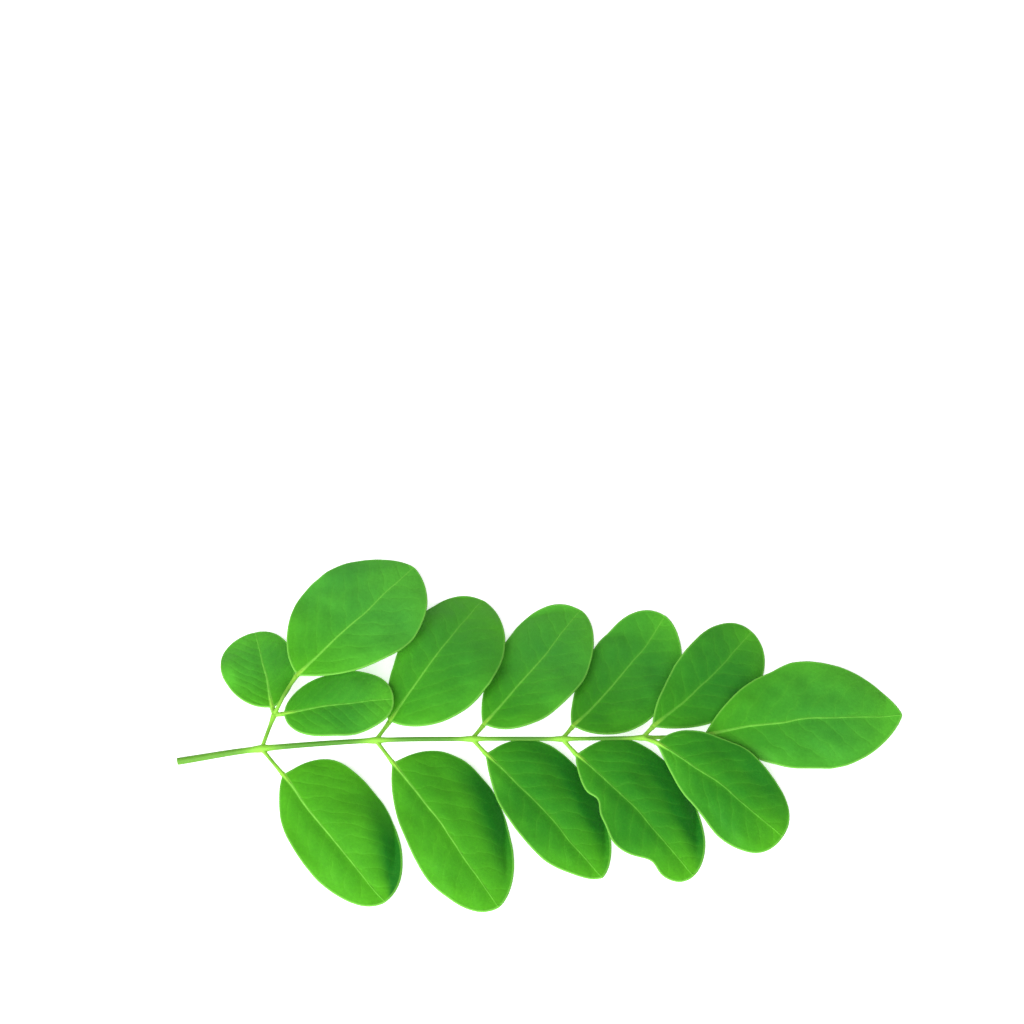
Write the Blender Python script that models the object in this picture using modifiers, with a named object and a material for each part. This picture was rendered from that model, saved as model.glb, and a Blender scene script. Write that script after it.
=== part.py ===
"""A moringa leaf sprig, cut and lying on a table: a stalk with leaflets in two rows and one at its end.

Metres, +Z up. The sprig lies along X with its cut end at -X, and rests on Z = 0 under the middle of its box.
"""

import math
from dataclasses import dataclass

import bmesh
import bpy
from mathutils import Vector

NAME = "moringa_leaf_sprig"
MM = 0.001

# The sizes below are in millimetres, and angles are in degrees.
BLADE_THICKNESS = 0.65
GAP = 0.3
BLADE_LENGTH_STEPS = 22
BLADE_WIDTH_STEPS = 8

# Where the stalk passes on the table: x to the right, y away, z up, and the stalk's radius there.
JOINTS = {
    "cut": (-45.2, -3.8, 0.48, 0.46),
    "one": (-34.7, -2.8, 2.0, 0.37),
    "two": (-20.5, -2.3, 3.3, 0.31),
    "three": (-8.6, -2.5, 4.1, 0.28),
    "four": (2.5, -2.6, 4.3, 0.26),
    "five": (12.4, -2.2, 3.8, 0.25),
    "end": (19.6, -1.5, 2.8, 0.25),
}
# The side stalk at the back of joint one forks here into three leaflets.
FORK = (-33.3, 1.4, 2.9)
SIDE_STALK_RADIUS = 0.25
LEAFLET_STALK_RADIUS = 0.24
BLADE_FOOT_HALF_WIDTH = 0.32
# Each joint is a little swollen, and so are both ends of a leaflet's stalk.
JOINT_SWELLING = 0.13
LEAFLET_STALK_SWELLING = 0.05
JOINT_SWELLING_REACH = 0.9
STALK_STEP = 1.2
SHARP_EDGE_ANGLE = 50
WELD_DISTANCE = 1e-6  # in metres


@dataclass
class Leaflet:
    """One leaflet. Left and right are as seen along its midrib from the base to the tip."""

    name: str
    joint: str
    stalk: float  # length of its own stalk
    heading: float  # of the midrib, anticlockwise from +X
    length: float
    width: float
    left: float  # the share of the width that lies left of the midrib
    base_z: float
    tip_z: float  # a tip below the table is laid flat on it
    roll: float  # the left side rises by this angle and the right side drops
    wedge: tuple  # left and right side: a larger number gives a narrower base
    blunt: tuple  # left and right side: a larger number gives a narrower tip
    fold: float  # both sides rise from the midrib by this angle, or droop where it is negative
    arch: float  # the midrib bows up by this
    bend: float = 0.0  # the midrib bows to the left by this
    wave: float = 0.2  # the margins rise and fall by this
    waves: float = 2.0
    curl: float = 0.0  # the left margin droops by this, ever more steeply, and most near two thirds along
    nicks: tuple = ()  # of the right margin: where along it, how deep as a share, and how wide
    stalk_heading: float = None  # where its own stalk doesn't run in line with the midrib
    stalk_bow: float = 0.0


# The half of a side leaflet towards the end of the sprig is broad near its base, and the other half is
# broad near its tip. Three leaflets of the back row share one outline.
BACK_ROW = {"wedge": (0.76, 0.50), "blunt": (0.43, 0.60)}
# The fourth front leaflet's near margin is cut in twice, and swells out between where the depth is negative.
FRONT_4_NICKS = ((0.295, 0.25, 0.06), (0.55, -0.18, 0.11), (0.78, 0.27, 0.08))

LEAFLETS = [
    Leaflet("leaflet_front_1", "one", 4.4, -51.2, 20.5, 12.8, 0.63, 2.0, -0.3, roll=-2, fold=-2, arch=1.5,
            bend=-0.5, curl=1.5, wedge=(0.34, 0.72), blunt=(0.50, 0.56)),
    Leaflet("leaflet_front_2", "two", 3.5, -53.8, 22.0, 13.5, 0.61, 3.1, -0.3, roll=-6, fold=-3, arch=1.5,
            curl=1.5, wedge=(0.38, 0.86), blunt=(0.61, 0.55)),
    Leaflet("leaflet_front_3", "three", 2.3, -46.6, 20.5, 12.1, 0.63, 3.6, -0.2, roll=-6, fold=-2, arch=1.3,
            curl=1.2, wedge=(0.40, 0.94), blunt=(0.61, 0.78)),
    Leaflet("leaflet_front_4", "four", 2.3, -46.2, 20.2, 12.2, 0.64, 3.6, -0.2, roll=-6, fold=-2, arch=1.3,
            bend=0.2, curl=1.2, nicks=FRONT_4_NICKS, wedge=(0.36, 0.72), blunt=(0.53, 0.48)),
    Leaflet("leaflet_front_5", "five", 1.8, -34.5, 18.5, 11.2, 0.54, 4.7, 0.0, roll=1, fold=-6, arch=1.4,
            wedge=(0.50, 0.95), blunt=(0.44, 0.44)),
    Leaflet("leaflet_back_2", "two", 2.9, 59.0, 22.0, 13.6, 0.40, 3.1, 0.3, roll=-9, fold=-4, arch=1.9,
            bend=-0.3, **BACK_ROW),
    Leaflet("leaflet_back_3", "three", 2.3, 56.0, 22.0, 12.0, 0.47, 3.8, 0.2, roll=-10, fold=-4, arch=0.7,
            bend=-0.4, **BACK_ROW),
    Leaflet("leaflet_back_4", "four", 2.1, 55.5, 21.5, 12.0, 0.44, 3.9, -0.1, roll=-3, fold=-6, arch=-0.4,
            bend=-0.5, **BACK_ROW),
    Leaflet("leaflet_back_5", "five", 1.9, 49.0, 20.0, 10.0, 0.47, 3.8, 0.6, roll=11, fold=-4, arch=0.3,
            bend=-0.6, wedge=(0.78, 0.74), blunt=(0.42, 0.50)),
    Leaflet("leaflet_end", "end", 0.3, 9.4, 25.5, 14.1, 0.55, 2.8, -0.5, roll=9, fold=-5, arch=1.3,
            bend=0.4, wedge=(0.88, 1.0), blunt=(0.68, 0.82)),
    Leaflet("side_leaflet_end", "fork", 5.3, 49.0, 21.5, 15.5, 0.54, 4.5, 3.4, roll=-3, fold=-4, arch=1.0,
            bend=-0.4, wedge=(0.66, 0.84), blunt=(0.62, 0.64), stalk_heading=60.0, stalk_bow=0.5),
    Leaflet("side_leaflet_left", "fork", 1.0, 104.0, 12.1, 9.4, 0.57, 2.65, 0.6, roll=0, fold=-4, arch=0.3,
            wedge=(0.58, 0.60), blunt=(0.42, 0.44)),
    Leaflet("side_leaflet_right", "fork", 1.0, 5.0, 13.7, 9.6, 0.52, 3.0, 4.6, roll=-7, fold=-2, arch=0.3,
            wedge=(0.52, 0.48), blunt=(0.44, 0.44)),
]

# The right margin waves out of step with the left one, by this share of a wave.
RIGHT_WAVE_LAG = 0.37
# u * u * (1 - u) times this reaches 1 at its top, two thirds along the blade.
CURL_PEAK = 6.75

LEAF_GREEN = (0.075, 0.34, 0.030, 1)
LEAF_ROUGHNESS = 0.5
STALK_GREEN = (0.38, 0.60, 0.13, 1)
STALK_ROUGHNESS = 0.45


def clear_scene():
    for thing in list(bpy.data.objects):
        bpy.data.objects.remove(thing, do_unlink=True)


def new_collection(name):
    collection = bpy.data.collections.new(name)
    bpy.context.scene.collection.children.link(collection)
    return collection


def plain_material(name, colour, roughness):
    material = bpy.data.materials.new(name)
    material.use_nodes = True
    shader = material.node_tree.nodes["Principled BSDF"]
    shader.inputs["Base Color"].default_value = colour
    shader.inputs["Roughness"].default_value = roughness
    shader.inputs["Metallic"].default_value = 0
    material.diffuse_color = colour
    return material


def turn(heading):
    """The directions along and to the left of a heading, on the table."""
    angle = math.radians(heading)
    return Vector((math.cos(angle), math.sin(angle), 0)), Vector((-math.sin(angle), math.cos(angle), 0))


def start_of(leaflet):
    """Where a leaflet's own stalk leaves the sprig."""
    return Vector(FORK if leaflet.joint == "fork" else JOINTS[leaflet.joint][:3])


def foot_of(leaflet):
    """Where a leaflet's own stalk ends and its blade begins."""
    heading = leaflet.heading if leaflet.stalk_heading is None else leaflet.stalk_heading
    foot = start_of(leaflet) + turn(heading)[0] * leaflet.stalk
    foot.z = leaflet.base_z
    return foot


def half_width(leaflet, u, left_side):
    """The blade's width on one side of the midrib, at the share u of its length."""
    wedge, blunt = (pair[0 if left_side else 1] for pair in (leaflet.wedge, leaflet.blunt))
    share = leaflet.left if left_side else 1 - leaflet.left
    widest = wedge / (wedge + blunt)
    half = leaflet.width * share * (u / widest) ** wedge * ((1 - u) / (1 - widest)) ** blunt
    if not left_side:
        half *= 1 - sum(depth * math.exp(-((u - at) / reach) ** 2) for at, depth, reach in leaflet.nicks)
    return math.hypot(half, BLADE_FOOT_HALF_WIDTH * (1 - u))


def blade_point(leaflet, u, v):
    """A point of the blade's middle surface: u runs from base to tip, v from -1 at the right margin to 1."""
    along, left = turn(leaflet.heading)
    off = v * half_width(leaflet, u, v > 0)
    bow = 4 * u * (1 - u)
    height = leaflet.base_z + (leaflet.tip_z - leaflet.base_z) * u + leaflet.arch * bow
    height += off * math.tan(math.radians(leaflet.roll)) + abs(off) * math.tan(math.radians(leaflet.fold))
    height -= leaflet.curl * max(v, 0) ** 3 * CURL_PEAK * u * u * (1 - u)
    turns = leaflet.waves * u + (0 if v > 0 else RIGHT_WAVE_LAG)
    height += leaflet.wave * v * v * math.sin(2 * math.pi * turns) * math.sin(math.pi * u)
    point = foot_of(leaflet) + along * (GAP + leaflet.length * u) + left * (off + leaflet.bend * bow)
    point.z = max(height, BLADE_THICKNESS / 2)
    return point


def make_blade(leaflet, collection, material):
    """A thin arched sheet: a grid laid on the blade's middle surface and thickened to both sides."""
    sheet = bmesh.new()
    bmesh.ops.create_grid(sheet, x_segments=BLADE_LENGTH_STEPS, y_segments=BLADE_WIDTH_STEPS, size=1)
    for vertex in sheet.verts:
        # Steps along the blade are finer near its base and tip, where its outline turns.
        u = (1 - math.cos(math.pi * (vertex.co.x + 1) / 2)) / 2
        vertex.co = blade_point(leaflet, min(max(u, 0.0), 1.0), vertex.co.y) * MM
    bmesh.ops.remove_doubles(sheet, verts=sheet.verts, dist=WELD_DISTANCE)
    bmesh.ops.triangulate(sheet, faces=sheet.faces, quad_method="SHORT_EDGE")
    bmesh.ops.recalc_face_normals(sheet, faces=sheet.faces)
    if sum(face.normal.z for face in sheet.faces) < 0:
        bmesh.ops.reverse_faces(sheet, faces=sheet.faces)
    mesh = bpy.data.meshes.new(leaflet.name)
    sheet.to_mesh(mesh)
    sheet.free()
    mesh.shade_smooth()
    mesh.materials.append(material)
    blade = bpy.data.objects.new(leaflet.name, mesh)
    collection.objects.link(blade)
    wall = blade.modifiers.new("thickness", "SOLIDIFY")
    wall.thickness = BLADE_THICKNESS * MM
    wall.offset = 0
    wall.use_quality_normals = True
    return blade


def smooth_path(points):
    """Points about STALK_STEP apart on a smooth curve through the given ones, each with its radius."""
    ends = [2 * points[0] - points[1], *points, 2 * points[-1] - points[-2]]
    path = []
    for before, here, there, after in zip(ends, ends[1:], ends[2:], ends[3:]):
        steps = max(2, round((there - here).length / STALK_STEP))
        for step in range(steps):
            t = step / steps
            path.append(0.5 * (2 * here + (there - before) * t
                               + (2 * before - 5 * here + 4 * there - after) * t ** 2
                               + (3 * here - 3 * there + after - before) * t ** 3))
    return path + [points[-1]]


def swollen(path, centres, swelling):
    """The path with its radius raised near the given points."""
    for point in path:
        near = max(math.exp(-((point.xyz - centre).length / JOINT_SWELLING_REACH) ** 2) for centre in centres)
        point.w += swelling * near
    return path


def make_tube(name, path, collection):
    """A closed round stalk along a path, as a mesh."""
    curve = bpy.data.curves.new(name, "CURVE")
    curve.dimensions = "3D"
    curve.bevel_depth = MM
    curve.bevel_resolution = 2
    curve.use_fill_caps = True
    spline = curve.splines.new("POLY")
    spline.points.add(len(path) - 1)
    for place, point in zip(spline.points, path):
        place.co = (*(point.xyz * MM), 1)
        place.radius = point.w
    guide = bpy.data.objects.new(name + "_line", curve)
    collection.objects.link(guide)
    bpy.context.view_layer.update()
    evaluated = guide.evaluated_get(bpy.context.evaluated_depsgraph_get())
    mesh = bpy.data.meshes.new_from_object(evaluated)
    bpy.data.objects.remove(guide, do_unlink=True)
    welded = bmesh.new()
    welded.from_mesh(mesh)
    bmesh.ops.remove_doubles(welded, verts=welded.verts, dist=WELD_DISTANCE)
    bmesh.ops.recalc_face_normals(welded, faces=welded.faces)
    welded.to_mesh(mesh)
    welded.free()
    mesh.name = name
    tube = bpy.data.objects.new(name, mesh)
    collection.objects.link(tube)
    return tube


def leaflet_stalk_path(leaflet):
    """A leaflet's own stalk, from the sprig's joint to the blade, swollen at both ends."""
    start, foot = start_of(leaflet), foot_of(leaflet)
    middle = (start + foot) / 2
    middle.z += leaflet.stalk_bow
    path = smooth_path([Vector((*point, LEAFLET_STALK_RADIUS)) for point in (start, middle, foot)])
    return swollen(path, [start, foot], LEAFLET_STALK_SWELLING)


def make_stalk(collection, branches, material):
    """The main stalk with the side stalk and every leaflet's stalk joined into it."""
    path = smooth_path([Vector(joint) for joint in JOINTS.values()])
    centres = [Vector(JOINTS[key][:3]) for key in ("one", "two", "three", "four", "five")]
    stalk = make_tube("stalk", swollen(path, centres, JOINT_SWELLING), collection)
    stalk.data.materials.append(material)

    side_ends = [Vector((*JOINTS["one"][:3], SIDE_STALK_RADIUS)), Vector((*FORK, SIDE_STALK_RADIUS))]
    side_path = swollen(smooth_path(side_ends), [Vector(FORK)], JOINT_SWELLING)
    make_tube("side_stalk", side_path, branches)
    for leaflet in LEAFLETS:
        if leaflet.joint != "end":
            make_tube(leaflet.name + "_stalk", leaflet_stalk_path(leaflet), branches)

    union = stalk.modifiers.new("branches", "BOOLEAN")
    union.operation = "UNION"
    union.operand_type = "COLLECTION"
    union.collection = branches
    bpy.context.view_layer.update()
    joined = bpy.data.meshes.new_from_object(stalk.evaluated_get(bpy.context.evaluated_depsgraph_get()))
    stalk.modifiers.clear()
    stalk.data = joined
    joined.name = "stalk"
    for branch in list(branches.objects):
        bpy.data.objects.remove(branch, do_unlink=True)
    joined.shade_smooth()
    joined.set_sharp_from_angle(angle=math.radians(SHARP_EDGE_ANGLE))
    return stalk


def main():
    clear_scene()
    sprig = new_collection(NAME)
    branches = new_collection("branches")
    make_stalk(sprig, branches, plain_material("stalk", STALK_GREEN, STALK_ROUGHNESS))
    for leaflet in LEAFLETS:
        make_blade(leaflet, sprig, plain_material(leaflet.name, LEAF_GREEN, LEAF_ROUGHNESS))


main()
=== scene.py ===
"""The looks of a cut moringa leaf sprig lying on a white table.

Thirteen thin leaf blades with their veins, and the stalk that carries them. Sizes are in millimetres and
angles in degrees, as in the sprig's own measures. Meshes are scaled to metres when they are made.
"""

import math
from dataclasses import dataclass

import bmesh
import bpy
import numpy as np
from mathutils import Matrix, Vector


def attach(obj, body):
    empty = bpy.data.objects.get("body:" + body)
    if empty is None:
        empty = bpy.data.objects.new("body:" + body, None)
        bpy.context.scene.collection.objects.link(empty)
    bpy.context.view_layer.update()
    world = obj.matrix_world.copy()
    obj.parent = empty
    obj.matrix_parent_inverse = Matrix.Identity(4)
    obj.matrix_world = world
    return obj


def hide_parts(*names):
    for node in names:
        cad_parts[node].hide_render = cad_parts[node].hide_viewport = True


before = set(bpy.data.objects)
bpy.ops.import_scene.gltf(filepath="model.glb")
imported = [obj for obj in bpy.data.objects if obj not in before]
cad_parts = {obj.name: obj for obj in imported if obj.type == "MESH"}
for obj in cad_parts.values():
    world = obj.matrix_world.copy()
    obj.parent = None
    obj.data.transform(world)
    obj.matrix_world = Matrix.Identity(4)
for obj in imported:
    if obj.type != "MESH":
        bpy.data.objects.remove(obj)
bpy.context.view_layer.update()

MM = 0.001
TAU = 2 * math.pi

# The sprig's measures: where the stalk passes, as x, y, z and its radius there.
JOINTS = {
    "cut": (-45.2, -3.8, 0.48, 0.46),
    "one": (-34.7, -2.8, 2.0, 0.37),
    "two": (-20.5, -2.3, 3.3, 0.31),
    "three": (-8.6, -2.5, 4.1, 0.28),
    "four": (2.5, -2.6, 4.3, 0.26),
    "five": (12.4, -2.2, 3.8, 0.25),
    "end": (19.6, -1.5, 2.8, 0.25),
}
SWOLLEN_JOINTS = ("one", "two", "three", "four", "five")
FORK = (-33.3, 1.4, 2.9)
SIDE_STALK_RADIUS = 0.25
LEAFLET_STALK_RADIUS = 0.24
JOINT_SWELLING = 0.13
LEAFLET_STALK_SWELLING = 0.05
JOINT_SWELLING_REACH = 0.9
GAP = 0.3

# The photograph's view: its picture centre on the table, and the camera's height angle, distance and lens.
PICTURE_CENTRE = (-3.7, 33.0, 0.0)
VIEW_ELEVATION = 58.0
VIEW_DISTANCE = 320.0
LENS = 85.0
SENSOR = 36.0


@dataclass
class Leaflet:
    """One leaflet. Left and right are as seen along its midrib from the base to the tip."""

    name: str
    joint: str
    stalk: float  # length of its own stalk
    heading: float  # of the midrib, anticlockwise from +X
    length: float
    width: float
    left: float  # the share of the width that lies left of the midrib
    base_z: float
    tip_z: float
    roll: float  # the left side rises by this angle and the right side drops
    wedge: tuple  # left and right side: a larger number gives a narrower base
    blunt: tuple  # left and right side: a larger number gives a narrower tip
    fold: float  # both sides rise from the midrib by this angle, or droop where it is negative
    arch: float  # the midrib bows up by this
    bend: float = 0.0  # the midrib bows to the left by this
    curl: float = 0.0  # the left margin droops by this, ever more steeply, and most near two thirds along
    nicked: float = 0.0  # 1 where the right margin is cut in as in NICKS
    stalk_heading: float = None
    stalk_bow: float = 0.0
    tone: float = 0.3  # 0 is the deepest green and 1 the yellowest
    shade: float = 0.0  # painted shade: how much deeper the green is painted towards the left margin; a negative value paints light there instead
    painted_shade_at: float = 0.6  # where along the blade the painted shade is strongest
    tip: float = 0.45  # how much yellower the green is towards the tip
    bloom: float = 0.0  # painted sheen: how much paler and cooler the blade is painted beyond its base


# Three leaflets of the back row share one outline.
BACK_ROW = {"wedge": (0.76, 0.50), "blunt": (0.43, 0.60)}

LEAFLETS = [
    Leaflet("leaflet_front_1", "one", 4.4, -51.2, 20.5, 12.8, 0.63, 2.0, -0.3, roll=-2, fold=-2, arch=1.5,
            bend=-0.5, curl=1.5, wedge=(0.34, 0.72), blunt=(0.50, 0.56), tone=0.86, shade=1.2,
            painted_shade_at=0.90, tip=0.12),
    Leaflet("leaflet_front_2", "two", 3.5, -53.8, 22.0, 13.5, 0.61, 3.1, -0.3, roll=-6, fold=-3, arch=1.5,
            curl=1.5, wedge=(0.38, 0.86), blunt=(0.61, 0.55), tone=0.72, shade=0.95, painted_shade_at=0.50,
            tip=0.18),
    Leaflet("leaflet_front_3", "three", 2.3, -46.6, 20.5, 12.1, 0.63, 3.6, -0.2, roll=-6, fold=-2, arch=1.3,
            curl=1.2, wedge=(0.40, 0.94), blunt=(0.61, 0.78), tone=0.26, shade=0.75, painted_shade_at=0.55,
            tip=0.60),
    Leaflet("leaflet_front_4", "four", 2.3, -46.2, 20.2, 12.2, 0.64, 3.6, -0.2, roll=-6, fold=-2, arch=1.3,
            bend=0.2, curl=1.2, wedge=(0.36, 0.72), blunt=(0.53, 0.48), nicked=1.0, tone=0.20, shade=0.8,
            tip=0.70),
    Leaflet("leaflet_front_5", "five", 1.8, -34.5, 18.5, 11.2, 0.54, 4.7, 0.0, roll=1, fold=-6, arch=1.4,
            wedge=(0.50, 0.95), blunt=(0.44, 0.44), tone=0.25, shade=0.3, tip=0.5),
    Leaflet("leaflet_back_2", "two", 2.9, 59.0, 22.0, 13.6, 0.40, 3.1, 0.3, roll=-9, fold=-4, arch=1.9,
            bend=-0.3, tone=0.50, shade=-0.35, bloom=0.06, **BACK_ROW),
    Leaflet("leaflet_back_3", "three", 2.3, 56.0, 22.0, 12.0, 0.47, 3.8, 0.2, roll=-10, fold=-4, arch=0.7,
            bend=-0.4, tone=0.50, shade=-0.2, bloom=0.09, **BACK_ROW),
    Leaflet("leaflet_back_4", "four", 2.1, 55.5, 21.5, 12.0, 0.44, 3.9, -0.1, roll=-3, fold=-6, arch=-0.4,
            bend=-0.5, tone=0.39, bloom=0.06, **BACK_ROW),
    Leaflet("leaflet_back_5", "five", 1.9, 49.0, 20.0, 10.0, 0.47, 3.8, 0.6, roll=11, fold=-4, arch=0.3,
            bend=-0.6, wedge=(0.78, 0.74), blunt=(0.42, 0.50), tone=0.28, bloom=0.04),
    Leaflet("leaflet_end", "end", 0.3, 9.4, 25.5, 14.1, 0.55, 2.8, -0.5, roll=9, fold=-5, arch=1.3,
            bend=0.4, wedge=(0.88, 1.0), blunt=(0.68, 0.82), tone=0.52, shade=-0.4, painted_shade_at=0.85,
            bloom=0.07),
    Leaflet("side_leaflet_end", "fork", 5.3, 49.0, 21.5, 15.5, 0.54, 4.5, 3.4, roll=-3, fold=-4, arch=1.0,
            bend=-0.4, wedge=(0.66, 0.84), blunt=(0.62, 0.64), stalk_heading=60.0, stalk_bow=0.5,
            tone=0.67, shade=0.2, tip=0.55, bloom=0.12),
    Leaflet("side_leaflet_left", "fork", 1.0, 104.0, 12.1, 9.4, 0.57, 2.65, 0.6, roll=0, fold=-4, arch=0.3,
            wedge=(0.58, 0.60), blunt=(0.42, 0.44), tone=0.64, shade=-0.25, bloom=0.08),
    Leaflet("side_leaflet_right", "fork", 1.0, 5.0, 13.7, 9.6, 0.52, 3.0, 4.6, roll=-7, fold=-2, arch=0.3,
            wedge=(0.52, 0.48), blunt=(0.44, 0.44), tone=0.44, bloom=0.05),
]

# The blade's outline and waves, as in the solids.
BLADE_FOOT_HALF_WIDTH = 0.32
WAVE = 0.2
WAVES = 2.0
RIGHT_WAVE_LAG = 0.37
CURL_PEAK = 6.75  # u * u * (1 - u) times this reaches 1 at its top, two thirds along
# Where along the nicked margin it is cut in, how deep as a share of the width there, and how far it reaches.
NICKS = ((0.295, 0.25, 0.06), (0.55, -0.18, 0.11), (0.78, 0.27, 0.08))

# The fine blade: its thickness, its foot and margin, and how it lies on the table.
THICKNESS = 0.22
EDGE_RADIUS = 0.11
NECK = 0.45  # the blade's foot reaches back by this, into its stalk
REST_HEIGHT = 0.25
REST_BLEND = 0.30
ROWS_PER_MM = 6.6
COLUMNS = 97
CROWDING = 0.75  # how much closer the columns lie at the midrib and the margins than between them
SEED = 41
SEED_STEP = 7.3

# What makes each blade uneven.
RIPPLE = 0.035  # of the outline, as a share of the width
DOME = 0.13  # how much each half bulges, as a share of the way from the midrib
GROOVE_DEPTH, GROOVE_REACH = 0.10, 0.8  # where the midrib runs
CRUMPLE, CRUMPLE_LOST = 0.9, 0.5  # how far it rises and falls, and how much less it does at the margin
SWAY = 0.8  # of the midrib from side to side

# The veins: their half widths, and how far they stand out.
VEIN_SPACING_SHARE = 0.115  # of the blade's length
VEIN_LEAN, VEIN_LEAN_AT_BASE = 0.62, 0.45  # towards the tip, and how much more at the base
VEIN_BEND = 0.06  # towards the tip, ever more steeply
VEIN_STAGGER = 0.45  # of one side against the other
VEIN_WOBBLE = 0.9
RIB_HALF_WIDTH, RIB_RISE, KEEL_RISE = 0.08, 0.03, 0.13  # the midrib above, and its keel below
SIDE_VEIN_HALF_WIDTH, SIDE_VEIN_DIP, SIDE_VEIN_KEEL = 0.13, 0.01, 0.05
PILLOW = 0.018  # the lift between two side veins
RIM_PLACE, RIM_HALF_WIDTH, RIM_RISE = 0.14, 0.09, 0.02
WELD_DISTANCE = 0.0003

# Where a blade's painted shade and its yellower tip begin and end.
PAINTED_SHADE_FROM, PAINTED_SHADE_TO, PAINTED_SHADE_REACH = 0.58, 1.10, 0.38
TIP_FROM = 0.60


class Value:
    """A socket to reckon with: an expression on values adds its Math nodes to the tree."""

    def __init__(self, tree, socket):
        self.tree, self.socket = tree, socket

    def math(self, operation, *others):
        return self.tree.math(operation, self, *others)

    def __add__(self, other):
        return self.math("ADD", other)

    def __sub__(self, other):
        return self.math("SUBTRACT", other)

    def __rsub__(self, other):
        return self.tree.math("SUBTRACT", other, self)

    def __mul__(self, other):
        return self.math("MULTIPLY", other)

    def __truediv__(self, other):
        return self.math("DIVIDE", other)

    def __rtruediv__(self, other):
        return self.tree.math("DIVIDE", other, self)

    def __pow__(self, other):
        return self.math("POWER", other)

    def __neg__(self):
        return self.math("MULTIPLY", -1.0)

    def __abs__(self):
        return self.math("ABSOLUTE")

    __radd__, __rmul__ = __add__, __mul__


class Nodes:
    """A node tree that is written as expressions."""

    def __init__(self, tree):
        self.tree = tree

    def add(self, kind, settings=(), inputs=(), output=None):
        """A node of this type: its settings first, then the values or links of its sockets."""
        node = self.tree.nodes.new(kind)
        for name, value in dict(settings).items():
            setattr(node, name, value)
        for name, value in dict(inputs).items():
            socket = self.find(node.inputs, name)
            for given in value if isinstance(value, list) else [value]:
                if isinstance(given, Value):
                    self.tree.links.new(given.socket, socket)
                else:
                    socket.default_value = given
        return Value(self, self.find(node.outputs, output)) if node.outputs else node

    def find(self, sockets, name):
        """The socket in use with this name or place, or the first one in use."""
        used = [socket for socket in sockets if socket.enabled]
        if name is None:
            return used[0]
        return used[name] if isinstance(name, int) else next(s for s in used if s.name == name)

    def math(self, operation, *values):
        return self.add("ShaderNodeMath", {"operation": operation}, dict(enumerate(values)))

    def smooth(self, value, low, high):
        """0 below low, 1 above high and a smooth step between them."""
        return self.add("ShaderNodeMapRange", {"interpolation_type": "SMOOTHSTEP"},
                        {"Value": value, "From Min": low, "From Max": high})

    def bell(self, value, width):
        """1 where the value is 0, falling off to both sides within about the width."""
        share = value / width
        return (-(share * share)).math("EXPONENT")

    def split(self, vector):
        return [self.add("ShaderNodeSeparateXYZ", (), {"Vector": vector}, axis) for axis in "XYZ"]

    def join(self, x, y, z):
        return self.add("ShaderNodeCombineXYZ", (), {"X": x, "Y": y, "Z": z})

    def noise(self, place, scale, detail=2.0):
        """Soft noise from 0 to 1."""
        return self.add("ShaderNodeTexNoise", (), {"Vector": place, "Scale": scale, "Detail": detail})

    def mix(self, share, first, second):
        """A colour between two."""
        return self.add("ShaderNodeMix", {"data_type": "RGBA"}, {"Factor": share, "A": first, "B": second})


class GeometryTree(Nodes):
    """A Geometry Nodes tree with named inputs, run on a mesh by a modifier that is then applied."""

    KINDS = {float: "NodeSocketFloat", int: "NodeSocketInt", Vector: "NodeSocketVector"}

    def __init__(self, name, inputs):
        super().__init__(bpy.data.node_groups.new(name, "GeometryNodeTree"))
        face = self.tree.interface
        face.new_socket("Geometry", in_out="INPUT", socket_type="NodeSocketGeometry")
        for label, kind in inputs.items():
            face.new_socket(label, in_out="INPUT", socket_type=self.KINDS[kind])
        face.new_socket("Geometry", in_out="OUTPUT", socket_type="NodeSocketGeometry")
        entry = self.tree.nodes.new("NodeGroupInput")
        self.given = {socket.name: Value(self, socket) for socket in entry.outputs if socket.name}

    def attribute(self, name, kind):
        return self.add("GeometryNodeInputNamedAttribute", {"data_type": kind}, {"Name": name})

    def store(self, geometry, name, kind, value):
        return self.add("GeometryNodeStoreNamedAttribute", {"data_type": kind, "domain": "POINT"},
                        {"Geometry": geometry, "Name": name, "Value": value})

    def finish(self, geometry, material):
        """Ends the tree: real meshes in metres, smooth, with their material."""
        metres = self.add("GeometryNodeTransform", (), {"Geometry": geometry, "Scale": (MM, MM, MM)})
        real = self.add("GeometryNodeRealizeInstances", (), {"Geometry": metres})
        smooth = self.add("GeometryNodeSetShadeSmooth", (), {"Geometry": real})
        done = self.add("GeometryNodeSetMaterial", (), {"Geometry": smooth, "Material": material})
        self.tree.links.new(done.socket, self.tree.nodes.new("NodeGroupOutput").inputs["Geometry"])

    def run(self, name, mesh, values):
        """A new object: the tree's result on the mesh, for these values of its named inputs."""
        thing = new_object(name, mesh)
        modifier = thing.modifiers.new(name, "NODES")
        modifier.node_group = self.tree
        sockets = {item.name: item.identifier for item in self.tree.interface.items_tree
                   if item.in_out == "INPUT"}
        for label, value in values.items():
            modifier[sockets[label]] = value
        return bake(thing)


def new_object(name, data):
    """A mesh, light or camera put into the scene."""
    thing = bpy.data.objects.new(name, data)
    bpy.context.scene.collection.objects.link(thing)
    return thing


def bake(thing):
    """Turns an object with its modifiers into a plain mesh."""
    bpy.context.view_layer.update()
    mesh = bpy.data.meshes.new_from_object(thing.evaluated_get(bpy.context.evaluated_depsgraph_get()))
    thing.modifiers.clear()
    thing.data = mesh
    mesh.name = thing.name
    return thing


def turn(heading):
    """The directions along and to the left of a heading, on the table."""
    angle = math.radians(heading)
    return Vector((math.cos(angle), math.sin(angle), 0)), Vector((-math.sin(angle), math.cos(angle), 0))


def start_of(leaflet):
    """Where a leaflet's own stalk leaves the sprig."""
    return Vector(FORK if leaflet.joint == "fork" else JOINTS[leaflet.joint][:3])


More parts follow.
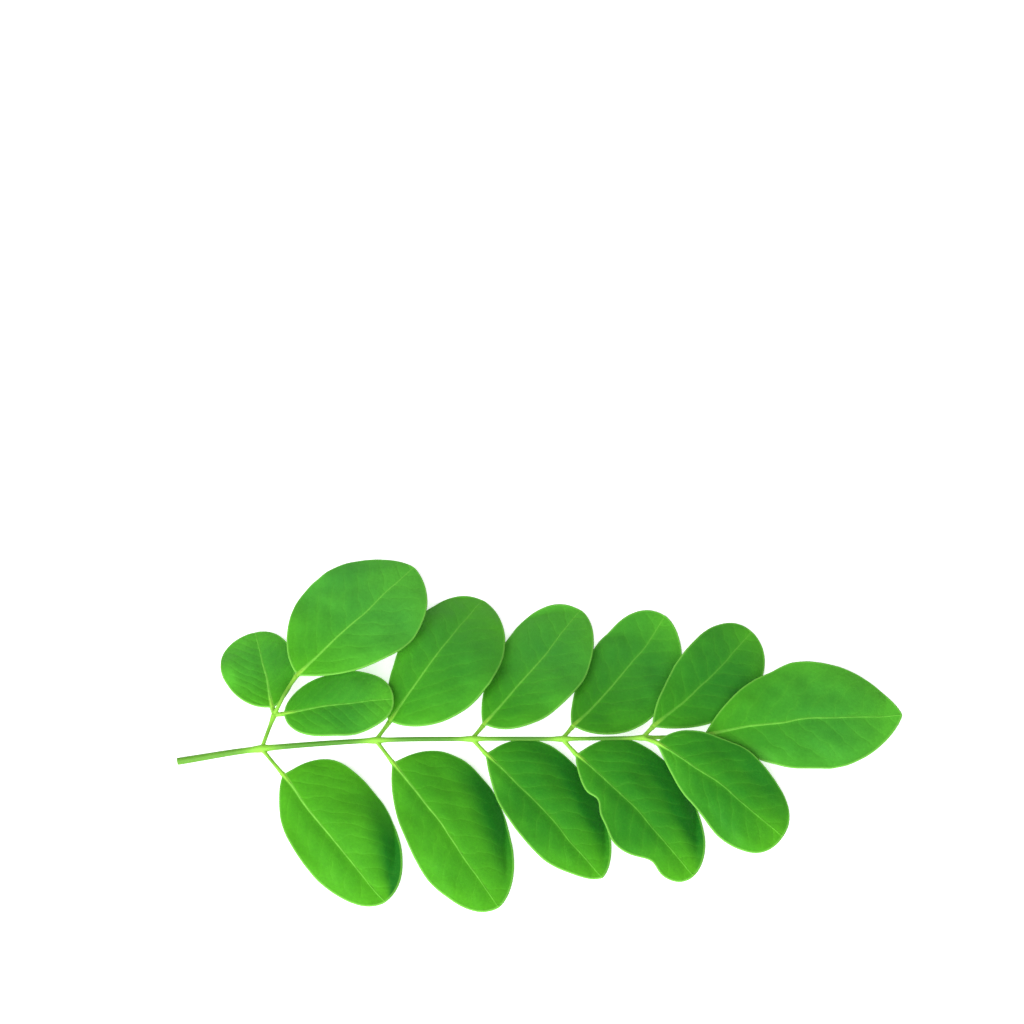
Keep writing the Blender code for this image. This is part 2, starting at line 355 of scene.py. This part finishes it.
def foot_of(leaflet):
    """Where a leaflet's own stalk ends and its blade begins."""
    heading = leaflet.heading if leaflet.stalk_heading is None else leaflet.stalk_heading
    foot = start_of(leaflet) + turn(heading)[0] * leaflet.stalk
    foot.z = leaflet.base_z
    return foot


BLADE_INPUTS = {
    "Rows": int, "Columns": int, "Foot": Vector, "Heading": float, "Length": float, "Width": float,
    "Left share": float, "Left wedge": float, "Right wedge": float, "Left blunt": float, "Right blunt": float,
    "Nicked": float, "Curl": float, "Tip rise": float, "Arch": float, "Bend": float, "Roll slope": float,
    "Fold slope": float, "Tone": float, "Shade": float, "Shade place": float, "Tip tone": float,
    "Bloom": float, "Seed": float,
}


def blade_values(leaflet, seed):
    return {
        "Rows": round(leaflet.length * ROWS_PER_MM), "Columns": COLUMNS, "Foot": foot_of(leaflet),
        "Heading": math.radians(leaflet.heading), "Length": leaflet.length, "Width": leaflet.width,
        "Left share": leaflet.left, "Left wedge": leaflet.wedge[0], "Right wedge": leaflet.wedge[1],
        "Left blunt": leaflet.blunt[0], "Right blunt": leaflet.blunt[1],
        "Nicked": leaflet.nicked, "Curl": leaflet.curl, "Tip rise": leaflet.tip_z - leaflet.base_z,
        "Arch": leaflet.arch, "Bend": leaflet.bend,
        "Roll slope": math.tan(math.radians(leaflet.roll)),
        "Fold slope": math.tan(math.radians(leaflet.fold)),
        "Tone": leaflet.tone, "Shade": leaflet.shade, "Shade place": leaflet.painted_shade_at,
        "Tip tone": leaflet.tip, "Bloom": leaflet.bloom, "Seed": seed,
    }


def blade_tree(material):
    """A leaf blade: a grid laid on the blade's middle surface, thickened, with its veins in relief."""
    tree = GeometryTree("leaflet blade", BLADE_INPUTS)
    size = tree.given
    length, seed = size["Length"], size["Seed"]
    grid = tree.add("GeometryNodeMeshGrid", (), {"Size X": 2.0, "Size Y": 2.0, "Vertices X": size["Rows"],
                                                 "Vertices Y": size["Columns"]})
    row, column = tree.split(tree.add("GeometryNodeInputPosition"))[:2]

    # Rows crowd at the base and the tip, columns at the midrib and the margins.
    along = (1 - ((row + 1) * (math.pi / 2)).math("COSINE")) / 2 * (length + NECK) - NECK
    u = (along / length).math("MAXIMUM", 0.0).math("MINIMUM", 1.0)
    even = abs(column)
    side_share = even - (even * TAU).math("SINE") * (CROWDING / TAU)
    is_left = column.math("GREATER_THAN", 0.0)

    def pick(left, right):
        return is_left * left + (1 - is_left) * right

    # The outline: half the width on this side of the midrib.
    wedge = pick(size["Left wedge"], size["Right wedge"])
    blunt = pick(size["Left blunt"], size["Right blunt"])
    portion = pick(size["Left share"], 1 - size["Left share"])
    widest = wedge / (wedge + blunt)
    half = size["Width"] * portion * (u / widest) ** wedge * ((1 - u) / (1 - widest)) ** blunt
    cut_in = sum(tree.bell(u - at, reach) * depth for at, depth, reach in NICKS)
    half = half * (1 - cut_in * size["Nicked"] * (1 - is_left))
    ripple = tree.noise(tree.join(along, is_left * 9.0, seed), 0.35, 1.0) - 0.5
    half = half * (1 + ripple * RIPPLE)
    foot_width = (1 - u) * BLADE_FOOT_HALF_WIDTH
    half = (half * half + foot_width * foot_width).math("SQRT")
    side = side_share * half
    off = side * pick(1.0, -1.0)

    # The middle surface: arched, rolled and drooping like a roof, domed between midrib and margin.
    bow = u * (1 - u) * 4.0
    turns = u * WAVES + (1 - is_left) * RIGHT_WAVE_LAG
    height = size["Tip rise"] * u + size["Arch"] * bow
    height = height + off * size["Roll slope"] + side * size["Fold slope"]
    height = height - size["Curl"] * is_left * side_share ** 3.0 * (u * u * (1 - u) * CURL_PEAK)
    height = height + side_share * side_share * (turns * TAU).math("SINE") * (u * math.pi).math("SINE") * WAVE
    height = height + side * (1 - side_share) * DOME - tree.bell(side, GROOVE_REACH) * bow * GROOVE_DEPTH
    crumple = tree.noise(tree.join(along, off, seed), 0.20, 1.0) - 0.5
    crumple_depth = CRUMPLE - tree.smooth(side_share, 0.6, 1.0) * CRUMPLE_LOST
    height = height + crumple * tree.smooth(side, 0.4, 4.0) * crumple_depth
    foot_x, foot_y, foot_z = tree.split(size["Foot"])
    height = (height + foot_z).math("SMOOTH_MAX", REST_HEIGHT, REST_BLEND)
    cosine, sine = size["Heading"].math("COSINE"), size["Heading"].math("SINE")
    sway = tree.noise(tree.join(along, seed, 5.0), 0.16, 1.0) - 0.5
    ahead, aside = along + GAP, off + (size["Bend"] + sway * SWAY) * bow
    place = tree.join(foot_x + ahead * cosine - aside * sine, foot_y + ahead * sine + aside * cosine, height)

    # The side veins leave the midrib aslant, bend towards the tip, and alternate from side to side.
    lean = (-(along.math("MAXIMUM", 0.0) / 4.0)).math("EXPONENT") * VEIN_LEAN_AT_BASE + VEIN_LEAN
    spacing = length * VEIN_SPACING_SHARE
    wobble = tree.noise(tree.join(along, off, seed + 3.0), 0.40, 1.5) - 0.5
    vein = (along - side * lean - side * side * VEIN_BEND) / spacing
    vein = vein + is_left * VEIN_STAGGER + wobble * VEIN_WOBBLE
    steep = lean + side * (2 * VEIN_BEND)
    reach = spacing / (steep * steep + 1).math("SQRT")
    fade = (1 - tree.smooth(side_share, 0.60, 0.96)) * tree.smooth(u, 0.015, 0.09)
    sheet = tree.store(grid, "leaf_place", "FLOAT_VECTOR", tree.join(along, off, u))
    sheet = tree.store(sheet, "leaf_veins", "FLOAT_VECTOR", tree.join(vein, reach, fade))
    # Painted shade: the green is deepened towards the left margin, most at its place along the blade; where
    # the amount is negative, light is painted there instead.
    painted_shade_zone = is_left * tree.smooth(side_share + u * 0.4, PAINTED_SHADE_FROM, PAINTED_SHADE_TO)
    painted_shade_zone = painted_shade_zone * tree.bell(u - size["Shade place"], PAINTED_SHADE_REACH)
    tone = size["Tone"] - painted_shade_zone * size["Shade"]
    tone = tone + (1 - painted_shade_zone) * tree.smooth(u, TIP_FROM, 1.0) * size["Tip tone"]
    sheet = tree.store(sheet, "leaf_tone", "FLOAT", tone)
    sheet = tree.store(sheet, "leaf_bloom", "FLOAT", size["Bloom"] * tree.smooth(u, 0.0, 0.7))
    sheet = tree.add("GeometryNodeSetPosition", (), {"Geometry": sheet, "Position": place})

    # How far each point is from the margin.
    faces = tree.add("GeometryNodeInputMeshEdgeNeighbors")
    lone = tree.add("FunctionNodeCompare", {"data_type": "INT", "operation": "EQUAL"}, {"A": faces, "B": 1})
    border = tree.add("GeometryNodeSeparateGeometry", {"domain": "EDGE"},
                      {"Geometry": sheet, "Selection": lone})
    margin = tree.add("GeometryNodeProximity", {"target_element": "EDGES"}, {"Geometry": border}, "Distance")
    sheet = tree.store(sheet, "leaf_margin", "FLOAT", margin)

    # The two faces of the blade, which close on each other along the margin.
    along, off, u = tree.split(tree.attribute("leaf_place", "FLOAT_VECTOR"))
    vein, reach, fade = tree.split(tree.attribute("leaf_veins", "FLOAT_VECTOR"))
    margin = tree.attribute("leaf_margin", "FLOAT")
    inset = 1 - (margin / EDGE_RADIUS).math("MINIMUM", 1.0)
    closing = (1 - inset * inset).math("MAXIMUM", 0.0).math("SQRT")
    near_foot = (-(along.math("MAXIMUM", 0.0) / 1.1)).math("EXPONENT")
    rib_width = (RIB_HALF_WIDTH + near_foot * 0.10) * (1 - u * 0.4)
    rib = tree.bell(off, rib_width)
    keel = tree.bell(off, rib_width * 1.5)
    vein_distance = vein.math("PINGPONG", 0.5) * reach
    raised_vein = tree.bell(vein_distance, SIDE_VEIN_HALF_WIDTH) * fade
    pillow = (vein.math("PINGPONG", 0.5) * math.pi).math("SINE") * fade
    rim = tree.bell(margin - RIM_PLACE, RIM_HALF_WIDTH)
    upper = THICKNESS / 2 + rib * (RIB_RISE + near_foot * 0.09)
    upper = upper + pillow * PILLOW - raised_vein * SIDE_VEIN_DIP + rim * RIM_RISE
    lower = THICKNESS / 2 + keel * (KEEL_RISE * (1 - u * 0.6) + near_foot * 0.08)
    lower = lower + raised_vein * SIDE_VEIN_KEEL + rim * RIM_RISE
    normal = tree.add("GeometryNodeInputNormal")

    def face(offset, top):
        """One face of the blade, its points moved along their normals."""
        step = tree.add("ShaderNodeVectorMath", {"operation": "SCALE"},
                        {"Vector": normal, "Scale": offset * closing})
        moved = tree.add("GeometryNodeSetPosition", (), {"Geometry": sheet, "Offset": step})
        return tree.store(moved, "leaf_top", "FLOAT", top)

    underside = tree.add("GeometryNodeFlipFaces", (), {"Mesh": face(-lower, 0.0)})
    both = tree.add("GeometryNodeJoinGeometry", (), {"Geometry": [face(upper, 1.0), underside]})
    closed = tree.add("GeometryNodeMergeByDistance", (), {"Geometry": both, "Distance": WELD_DISTANCE})
    tree.finish(closed, material)
    return tree


class Material(Nodes):
    """A material written as expressions, around one Principled shader."""

    def __init__(self, name):
        self.material = bpy.data.materials.new(name)
        self.material.use_nodes = True
        super().__init__(self.material.node_tree)
        self.shader = self.tree.nodes["Principled BSDF"]
        self.output = self.tree.nodes["Material Output"]

    def attribute(self, name, output="Fac"):
        return self.add("ShaderNodeAttribute", {"attribute_name": name}, (), output)

    def feed(self, **values):
        """Links or sets the Principled shader's sockets, whose names are written with _ for a space."""
        for name, value in values.items():
            socket = self.shader.inputs[name.replace("_", " ").title().replace("Ior", "IOR")]
            if isinstance(value, Value):
                self.tree.links.new(value.socket, socket)
            else:
                socket.default_value = value

    def glow_through(self, share, colour):
        """Lets some of the light that falls on the far side through."""
        through = self.add("ShaderNodeBsdfTranslucent", (), {"Color": colour})
        surface = Value(self, self.shader.outputs[0])
        blend = self.add("ShaderNodeMixShader", (), {0: share, 1: surface, 2: through})
        self.tree.links.new(blend.socket, self.output.inputs["Surface"])

    def bump(self, height, distance):
        """Fine relief: the height from 0 to 1 stands for this distance in millimetres."""
        return self.add("ShaderNodeBump", (), {"Strength": 1.0, "Distance": distance * MM, "Height": height})


# The leaf's painted shade and its greens by tone, its painted sheen, then what its places are tinted with,
# and the light that comes through it.
LEAF_SHADED = (0.004, 0.060, 0.004, 1)
LEAF_DEEP = (0.012, 0.166, 0.011, 1)
LEAF_YELLOW = (0.087, 0.415, 0.011, 1)
LEAF_PAINTED_SHEEN = (0.15, 0.70, 0.22, 1)
LEAF_SPECK = (0.008, 0.090, 0.003, 1)
LEAF_NET = (0.10, 0.40, 0.03, 1)
LEAF_SIDE_VEIN = (0.14, 0.48, 0.04, 1)
LEAF_RIM = (0.19, 0.52, 0.07, 1)
LEAF_MIDRIB = (0.24, 0.66, 0.08, 1)
LEAF_UNDERSIDE = (0.14, 0.36, 0.10, 1)
LEAF_UNDERSIDE_VEIN = (0.32, 0.58, 0.18, 1)
LEAF_THROUGH = (0.16, 0.60, 0.02, 1)

# The stalk's colours far from its cut end, near it and at the joints, its tints, and its cut's.
STALK_GREEN = (0.050, 0.185, 0.018, 1)
STALK_PALE = (0.090, 0.250, 0.022, 1)
STALK_YELLOW = (0.270, 0.600, 0.055, 1)
STALK_STREAK = (0.150, 0.330, 0.050, 1)
STALK_SPECK = (0.220, 0.400, 0.080, 1)
STALK_THROUGH = (0.60, 0.95, 0.20, 1)
CUT_FLESH = (0.300, 0.420, 0.140, 1)
CUT_RING = (0.100, 0.260, 0.040, 1)
FINE_RELIEF = 0.03


def leaf_material():
    """Thin leaf: green with painted shade, painted sheen and painted light near the margin, a pale midrib,
    faint side veins, a fine net, a pale rim and a paler underside.
    """
    leaf = Material("moringa leaf blade")
    along, off, u = leaf.split(leaf.attribute("leaf_place", "Vector"))
    vein, reach, fade = leaf.split(leaf.attribute("leaf_veins", "Vector"))
    margin = leaf.attribute("leaf_margin")
    top = leaf.attribute("leaf_top")
    # The tone here carries the painted shade as well as the yellower tip.
    tone = leaf.attribute("leaf_tone")
    place = leaf.add("ShaderNodeTexCoord", (), (), "Object")
    side = abs(off)

    near_foot = (-(along.math("MAXIMUM", 0.0) / 2.2)).math("EXPONENT")
    rib_width = (0.12 + near_foot * 0.14) * (1 - u * 0.40)
    midrib = 1 - leaf.smooth(side, rib_width * 0.4, rib_width * 1.7)
    beside_midrib = leaf.bell(side, rib_width * 5.0)
    vein_distance = vein.math("PINGPONG", 0.5) * reach
    side_vein = (1 - leaf.smooth(vein_distance, 0.02, 0.14)) * fade
    beside_vein = leaf.bell(vein_distance, 0.45) * fade

    # The finest veins close into a net of small cells.
    flat = leaf.join(along, off, 0.0)
    bent = leaf.add("ShaderNodeVectorMath", {"operation": "ADD"},
                    {0: flat, 1: leaf.add("ShaderNodeTexNoise", (), {"Vector": flat, "Scale": 1.3}, "Color")})
    cells = {"voronoi_dimensions": "2D", "feature": "DISTANCE_TO_EDGE"}

    def net(scale, width):
        """1 on the walls of the cells."""
        wall = leaf.add("ShaderNodeTexVoronoi", cells, {"Vector": bent, "Scale": scale})
        return 1 - leaf.smooth(wall, 0.0, width)

    wide_net, fine_net = net(1.1, 0.07), net(3.2, 0.12)

    cloud = leaf.noise(place, 190.0, 3.0)
    speck = leaf.noise(place, 2600.0, 2.0)
    rim = 1 - leaf.smooth(margin, 0.12, 0.32)
    # Painted light: the green is yellower within about 2.6 mm of the margin, as if light shone through the
    # thin edge.
    painted_margin_light = 1 - leaf.smooth(margin, 0.1, 2.6)
    yellow = tone * 0.8 + painted_margin_light * 0.16 + (cloud - 0.5) * 0.45 + beside_vein * 0.05 + beside_midrib * 0.15

    colour = leaf.mix(yellow.math("MINIMUM", 0.88), LEAF_DEEP, LEAF_YELLOW)
    # Painted shade: where the painted shade takes the tone below zero, the green darkens further towards
    # LEAF_SHADED.
    colour = leaf.mix(yellow * -0.6, colour, LEAF_SHADED)
    # Painted sheen: a pale, cool cast beyond the base.
    colour = leaf.mix(leaf.attribute("leaf_bloom"), colour, LEAF_PAINTED_SHEEN)
    colour = leaf.mix((speck - 0.5) * 0.4 + 0.08, colour, LEAF_SPECK)
    colour = leaf.mix(fine_net * 0.07 + wide_net * 0.08, colour, LEAF_NET)
    colour = leaf.mix(side_vein * 0.06, colour, LEAF_SIDE_VEIN)
    colour = leaf.mix(rim * 0.62, colour, LEAF_RIM)
    paling = (tone * 0.7 + 0.12) * (1 - leaf.smooth(u, 0.35, 1.0) * 0.7)
    colour = leaf.mix(midrib * paling, colour, LEAF_MIDRIB)
    at_foot = 1 - leaf.smooth(along, 0.0, 2.0)
    colour = leaf.mix(at_foot * (1 - leaf.smooth(side, 0.12, 0.30)), colour, STALK_YELLOW)
    under = leaf.mix(0.55, colour, LEAF_UNDERSIDE)
    under = leaf.mix(side_vein * 0.35 + midrib * 0.5, under, LEAF_UNDERSIDE_VEIN)
    colour = leaf.mix(top, under, colour)

    relief = (1 - side_vein * 0.3 - wide_net * 0.18 - fine_net * 0.14) * (top * 2 - 1) + speck * 0.25
    leaf.feed(base_color=colour, roughness=0.44 + cloud * 0.14 + speck * 0.06, specular_ior_level=0.13,
              normal=leaf.bump(relief, FINE_RELIEF))
    leaf.glow_through(0.16, LEAF_THROUGH)
    return leaf.material


def stalk_material():
    """Pale green stalk, yellower at its joints, finely streaked along its length, with a clean pale cut."""
    stalk = Material("moringa stalk")
    across, around, along = stalk.split(stalk.attribute("stalk_place", "Vector"))
    joint = stalk.attribute("stalk_joint")
    cut = stalk.attribute("stalk_cut")
    place = stalk.add("ShaderNodeTexCoord", (), (), "Object")
    streak_place = stalk.join(across * 3.0, around * 3.0, along * 0.35)
    streak = stalk.noise(streak_place, 2.2, 3.0)
    cloud = stalk.noise(place, 260.0, 2.0)
    speck = stalk.noise(place, 4200.0, 2.0)
    far = stalk.smooth(along, 2.0, 16.0)

    colour = stalk.mix(far * 0.85 + (cloud - 0.5) * 0.4, STALK_PALE, STALK_GREEN)
    colour = stalk.mix(stalk.smooth(streak, 0.40, 0.72) * 0.30, colour, STALK_STREAK)
    colour = stalk.mix(joint * 0.80, colour, STALK_YELLOW)
    colour = stalk.mix(stalk.smooth(speck, 0.60, 0.80) * 0.20, colour, STALK_SPECK)
    radial = (across * across + around * around).math("SQRT")
    ring = stalk.bell(radial - 0.66, 0.16)
    colour = stalk.mix(cut, colour, stalk.mix(ring, CUT_FLESH, CUT_RING))
    relief = streak * 0.7 + speck * 0.3
    stalk.feed(base_color=colour, roughness=0.40 + speck * 0.14, specular_ior_level=0.2,
               normal=stalk.bump(relief, FINE_RELIEF))
    stalk.glow_through(0.22, STALK_THROUGH)
    return stalk.material


CUT_SPARE = 0.8  # the stalk is made longer by this at its cut end, and then cut square
STALK_STEP = 0.4
STALK_SIDES = 24
STALK_VOXEL = 0.06
STALK_SMOOTHING_ROUNDS = 8
CUT_WELD = 1e-7
CUT_EDGE_ANGLE = 50
CUT_TOLERANCE = 0.004
YELLOW_REACH = 1.9  # how far from a joint the stalk is yellower
POINTS_AT_ONCE = 4000


def smooth_path(points):
    """Points about STALK_STEP apart on a smooth curve through the given ones, each with its radius."""
    ends = [2 * points[0] - points[1], *points, 2 * points[-1] - points[-2]]
    path = []
    for before, here, there, after in zip(ends, ends[1:], ends[2:], ends[3:]):
        steps = max(2, round((there - here).length / STALK_STEP))
        for count in range(steps):
            t = count / steps
            path.append(0.5 * (2 * here + (there - before) * t
                               + (2 * before - 5 * here + 4 * there - after) * t ** 2
                               + (3 * here - 3 * there + after - before) * t ** 3))
    return path + [points[-1]]


def swollen(path, centres, swelling):
    """The path with its radius raised near the given points."""
    for point in path:
        near = max(math.exp(-((point.xyz - centre).length / JOINT_SWELLING_REACH) ** 2) for centre in centres)
        point.w += swelling * near
    return path


def stalk_routes():
    """The main stalk, the side stalk and each leaflet's own stalk, as points with radii."""
    ends = [Vector(joint) for joint in JOINTS.values()]
    ends[-1] = Vector((*foot_of(next(leaf for leaf in LEAFLETS if leaf.joint == "end")), ends[-1].w))
    main = smooth_path(ends)
    back = (main[0].xyz - main[1].xyz).normalized() * CUT_SPARE
    main.insert(0, Vector((*(main[0].xyz + back), main[0].w)))
    centres = [Vector(JOINTS[key][:3]) for key in SWOLLEN_JOINTS]
    routes = [swollen(main, centres, JOINT_SWELLING)]
    side = [Vector((*JOINTS["one"][:3], SIDE_STALK_RADIUS)), Vector((*FORK, SIDE_STALK_RADIUS))]
    routes.append(swollen(smooth_path(side), [Vector(FORK)], JOINT_SWELLING))
    for leaflet in LEAFLETS:
        if leaflet.joint == "end":
            continue
        start, foot = start_of(leaflet), foot_of(leaflet)
        middle = (start + foot) / 2 + Vector((0, 0, leaflet.stalk_bow))
        path = smooth_path([Vector((*point, LEAFLET_STALK_RADIUS)) for point in (start, middle, foot)])
        routes.append(swollen(path, [start, foot], LEAFLET_STALK_SWELLING))
    return routes


def stalk_tree(material):
    """Round stalks swept along lines whose points carry their radius."""
    tree = GeometryTree("stalks", {"Sides": int})
    lines = tree.add("GeometryNodeMeshToCurve", (), {"Mesh": tree.given["Geometry"]})
    ring = tree.add("GeometryNodeCurvePrimitiveCircle", {"mode": "RADIUS"},
                    {"Resolution": tree.given["Sides"], "Radius": 1.0})
    swept = tree.add("GeometryNodeCurveToMesh", (), {"Curve": lines, "Profile Curve": ring, "Fill Caps": True,
                                                     "Scale": tree.attribute("girth", "FLOAT")})
    tree.finish(swept, material)
    return tree


def make_stalk(material):
    """All the stalks grown together into one, cut square at the end, with its streaks laid along them."""
    routes = stalk_routes()
    lines = bpy.data.meshes.new("stalk lines")
    points, edges = [], []
    for route in routes:
        edges += [(len(points) + step, len(points) + step + 1) for step in range(len(route) - 1)]
        points += route
    lines.from_pydata([point.xyz for point in points], edges, [])
    lines.attributes.new("girth", "FLOAT", "POINT").data.foreach_set("value", [point.w for point in points])
    stalk = stalk_tree(material).run("stalk_green", lines, {"Sides": STALK_SIDES})

    grown = stalk.modifiers.new("grown together", "REMESH")
    grown.mode = "VOXEL"
    grown.voxel_size = STALK_VOXEL * MM
    soft = stalk.modifiers.new("soft", "SMOOTH")
    soft.factor = 0.5
    soft.iterations = STALK_SMOOTHING_ROUNDS
    bake(stalk)
    stalk.data.materials.clear()
    stalk.data.materials.append(material)

    # The clean cut.
    centre, ahead = Vector(JOINTS["cut"][:3]), (routes[0][2].xyz - routes[0][1].xyz).normalized()
    whole = bmesh.new()
    whole.from_mesh(stalk.data)
    everything = whole.verts[:] + whole.edges[:] + whole.faces[:]
    cut = bmesh.ops.bisect_plane(whole, geom=everything, dist=CUT_WELD, plane_co=centre * MM, plane_no=-ahead,
                                 clear_outer=True)
    rim = [edge for edge in cut["geom_cut"] if isinstance(edge, bmesh.types.BMEdge)]
    bmesh.ops.triangle_fill(whole, edges=rim, use_beauty=True)
    bmesh.ops.recalc_face_normals(whole, faces=whole.faces)
    whole.to_mesh(stalk.data)
    whole.free()
    stalk.data.shade_smooth()
    stalk.data.set_sharp_from_angle(angle=math.radians(CUT_EDGE_ANGLE))
    mark_stalk(stalk.data, routes, centre, ahead)
    return stalk


def mark_stalk(mesh, routes, centre, ahead):
    """Notes for each point of the stalk where it is along and around it, how near a joint, and on the cut."""
    place = np.empty(len(mesh.vertices) * 3)
    mesh.vertices.foreach_get("co", place)
    place = place.reshape(-1, 3) / MM
    line, tangent, girth, distance = [], [], [], []
    for route in routes:
        points = np.array([point.xyz for point in route])
        steps = np.gradient(points, axis=0)
        line.append(points)
        tangent.append(steps / np.linalg.norm(steps, axis=1, keepdims=True))
        girth.append([point.w for point in route])
        distance.append(np.concatenate([[0], np.cumsum(np.linalg.norm(np.diff(points, axis=0), axis=1))]))
    line, tangent = np.concatenate(line), np.concatenate(tangent)
    girth, distance = np.concatenate(girth), np.concatenate(distance)
    nearest = np.concatenate([
        np.argmin(np.linalg.norm(part[:, None] - line[None], axis=2) - girth[None], axis=1)
        for part in np.array_split(place, max(1, len(place) // POINTS_AT_ONCE))])
    offset = place - line[nearest]
    sideways = np.cross(tangent[nearest], (0.0, 0.0, 1.0))
    sideways /= np.linalg.norm(sideways, axis=1, keepdims=True)
    upward = np.cross(sideways, tangent[nearest])
    along = distance[nearest] + (offset * tangent[nearest]).sum(1)
    across = (offset * sideways).sum(1) / girth[nearest]
    around = (offset * upward).sum(1) / girth[nearest]
    stalk_place = np.stack([across, around, along], axis=1)
    centres = np.array([JOINTS[key][:3] for key in SWOLLEN_JOINTS] + [FORK]
                       + [tuple(foot_of(leaflet)) for leaflet in LEAFLETS])
    near = np.linalg.norm(place[:, None] - centres[None], axis=2).min(axis=1)
    by_joint = np.exp(-(near / YELLOW_REACH) ** 2)
    on_cut = np.abs((place - np.array(centre)) @ np.array(ahead)) < CUT_TOLERANCE
    note = mesh.attributes.new("stalk_place", "FLOAT_VECTOR", "POINT")
    note.data.foreach_set("vector", stalk_place.ravel())
    for name, values in (("stalk_joint", by_joint), ("stalk_cut", on_cut.astype(float))):
        note = mesh.attributes.new(name, "FLOAT", "POINT")
        note.data.foreach_set("value", values)


def make_leaflets(material):
    """Every blade from the same tree, with its own measures."""
    tree = blade_tree(material)
    for count, leaflet in enumerate(LEAFLETS):
        blank = bpy.data.meshes.new(leaflet.name)
        blade = tree.run(leaflet.name + "_blade", blank, blade_values(leaflet, SEED + SEED_STEP * count))
        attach(blade, "root")
        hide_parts(leaflet.name)


# The studio: the softbox's place and width in metres and its watts, and the light of the room and the table.
SOFTBOX_PLACE = (-0.30, -0.50, 0.40)
SOFTBOX_WIDTH = 0.9
SOFTBOX_POWER = 15.5
ROOM_LIGHT = 0.40
TABLE_SIZE = 6.0
TABLE_GLOW = 0.55
TABLE_WHITE = (0.93, 0.93, 0.93, 1)
WHITE = (1, 1, 1, 1)
CLIP_START = 0.005


def add_softbox():
    """A square light aimed at the sprig."""
    lamp = bpy.data.lights.new("key", "AREA")
    lamp.energy = SOFTBOX_POWER
    lamp.size = SOFTBOX_WIDTH
    light = new_object("key", lamp)
    light.location = SOFTBOX_PLACE
    light.rotation_euler = (-light.location).to_track_quat("-Z", "Y").to_euler()


def add_camera():
    """The photograph's view."""
    camera = bpy.data.cameras.new("camera")
    camera.lens = LENS
    camera.sensor_width = SENSOR
    camera.clip_start = CLIP_START
    eye = new_object("camera", camera)
    elevation = math.radians(VIEW_ELEVATION)
    back = Vector((0, -math.cos(elevation), math.sin(elevation))) * VIEW_DISTANCE
    eye.location = (Vector(PICTURE_CENTRE) + back) * MM
    eye.rotation_euler = (-back).to_track_quat("-Z", "Y").to_euler()
    bpy.context.scene.camera = eye


def make_studio():
    """A white table, soft light from the front left, and an even white surround."""
    scene = bpy.context.scene
    scene.view_settings.view_transform = "Standard"
    bpy.ops.mesh.primitive_plane_add(size=TABLE_SIZE)
    table = bpy.context.active_object
    table.name = "white_table"
    white = Material("white table")
    white.feed(base_color=TABLE_WHITE, roughness=0.9, specular_ior_level=0.1, emission_color=WHITE,
               emission_strength=TABLE_GLOW)
    table.data.materials.append(white.material)
    world = bpy.data.worlds.new("white room")
    world.use_nodes = True
    background = world.node_tree.nodes["Background"]
    background.inputs["Color"].default_value = WHITE
    background.inputs["Strength"].default_value = ROOM_LIGHT
    scene.world = world
    add_softbox()
    add_camera()


make_studio()
make_leaflets(leaf_material())
stalk = make_stalk(stalk_material())
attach(stalk, "root")
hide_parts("stalk")
